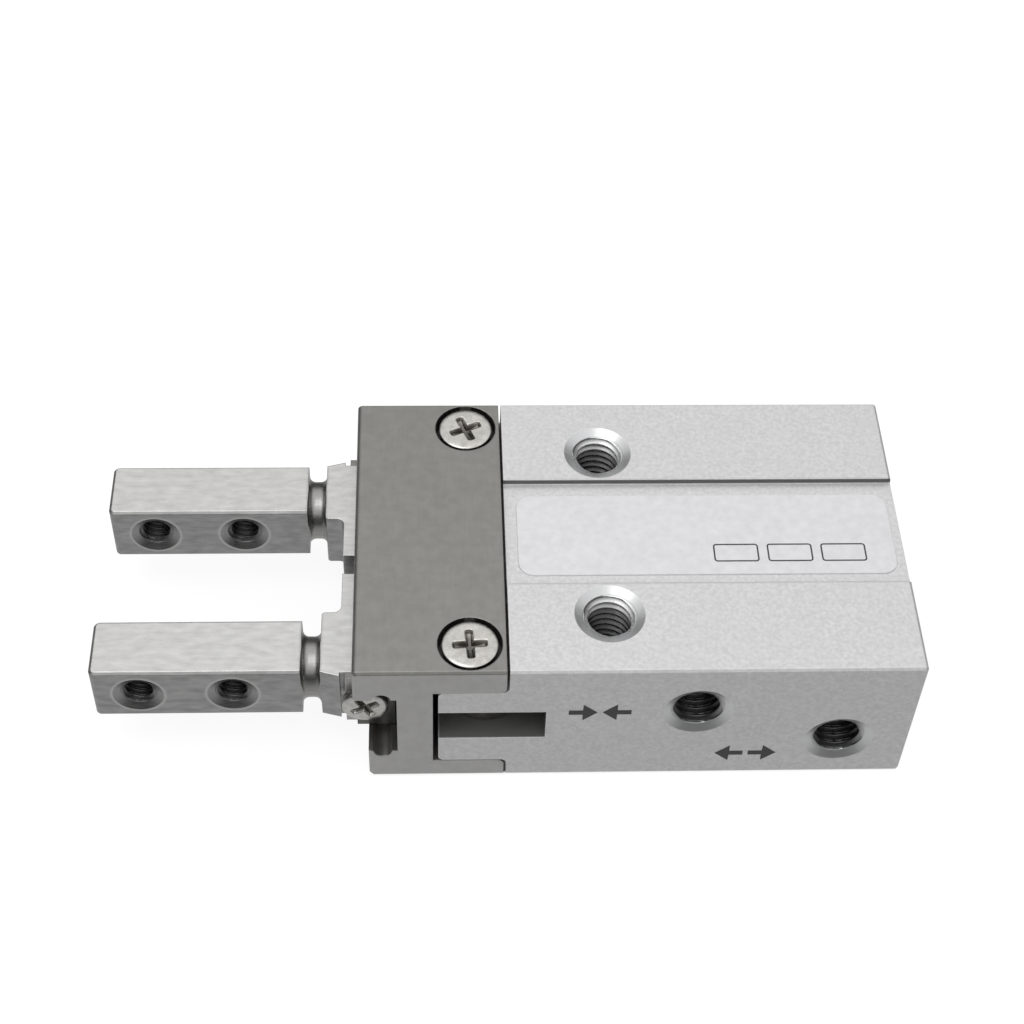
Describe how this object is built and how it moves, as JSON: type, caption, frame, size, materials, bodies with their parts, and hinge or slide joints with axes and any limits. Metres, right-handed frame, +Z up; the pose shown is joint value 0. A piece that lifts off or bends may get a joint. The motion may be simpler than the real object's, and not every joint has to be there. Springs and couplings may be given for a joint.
{
  "type": "pneumatic parallel gripper",
  "caption": "Small pneumatic parallel gripper: aluminium cylinder block with air ports, and two steel fingers on a ball guide, opened and closed by a piston through levers.",
  "frame": {"origin": "middle of the rear mounting face, on the cylinder's axis", "axes": "+X towards the fingertips, +Z up with the wide face up, +Y towards the side with the air ports"},
  "size_m": [0.0463, 0.02, 0.01],
  "materials": {
    "anodised_aluminium": "clear anodised, fine bead-blasted",
    "guide_steel": "satin stainless",
    "finger_steel": "ground stainless with fine lengthwise grain",
    "screw_steel": "bright nickel plate",
    "hard_steel": "hardened and ground",
    "ball_steel": "polished",
    "black_rubber": "moulded",
    "urethane": "cast, slightly translucent amber",
    "bonded_magnet": "dark bonded ferrite",
    "washer_brass": "turned"
  },
  "bodies": {
    "housing": {"body_block": "anodised_aluminium", "guide": "guide_steel", "guide_screws": "screw_steel", "lever_pins": "hard_steel", "centre_stop_pin": "hard_steel", "end_cap": "anodised_aluminium", "end_cap_gasket": "black_rubber", "retaining_ring": "hard_steel", "rod_seal": "black_rubber", "rod_washer": "washer_brass", "front_bumper": "urethane"},
    "piston": {"piston_rod": "hard_steel", "magnet_ring": "bonded_magnet", "piston_seal": "black_rubber", "rear_bumper": "urethane", "rod_head": "hard_steel"},
    "lever_port": {"lever_port_side": "hard_steel"},
    "lever_back": {"lever_back_side": "hard_steel"},
    "finger_port": {"finger_port_side": "finger_steel", "ball_plate_port_side": "finger_steel", "plate_screw_port_side": "screw_steel"},
    "finger_back": {"finger_back_side": "finger_steel", "ball_plate_back_side": "finger_steel", "plate_screw_back_side": "screw_steel"},
    "balls_port": {"upper_balls_port_side": "ball_steel", "lower_balls_port_side": "ball_steel"},
    "balls_back": {"upper_balls_back_side": "ball_steel", "lower_balls_back_side": "ball_steel"}
  },
  "joints": [
    {"name": "piston_stroke", "type": "slide", "parent": "housing", "child": "piston", "axis": [1, 0, 0], "range_m": [0, 0.00173]},
    {"name": "finger_port_slide", "type": "slide", "parent": "housing", "child": "finger_port", "axis": [0, 1, 0], "range_m": [0, 0.002]},
    {"name": "finger_back_slide", "type": "slide", "parent": "housing", "child": "finger_back", "axis": [0, -1, 0], "range_m": [0, 0.002]},
    {"name": "lever_port_turn", "type": "hinge", "parent": "housing", "child": "lever_port", "pos_m": [0.0241, 0.0065, 0], "axis": [0, 0, 1], "range_deg": [0, 19.1]},
    {"name": "lever_back_turn", "type": "hinge", "parent": "housing", "child": "lever_back", "pos_m": [0.0241, -0.0065, 0], "axis": [0, 0, -1], "range_deg": [0, 19.1]},
    {"name": "balls_port_roll", "type": "slide", "parent": "housing", "child": "balls_port", "axis": [0, 1, 0], "range_m": [0, 0.001]},
    {"name": "balls_back_roll", "type": "slide", "parent": "housing", "child": "balls_back", "axis": [0, -1, 0], "range_m": [0, 0.001]}
  ],
  "couplings": [
    {"joint": "finger_port_slide", "follows": "piston_stroke", "ratio": 1.1538},
    {"joint": "finger_back_slide", "follows": "piston_stroke", "ratio": 1.1538},
    {"joint": "lever_port_turn", "follows": "piston_stroke", "rad_per_m": 192.31},
    {"joint": "lever_back_turn", "follows": "piston_stroke", "rad_per_m": 192.31},
    {"joint": "balls_port_roll", "follows": "piston_stroke", "ratio": 0.57692},
    {"joint": "balls_back_roll", "follows": "piston_stroke", "ratio": 0.57692}
  ]
}
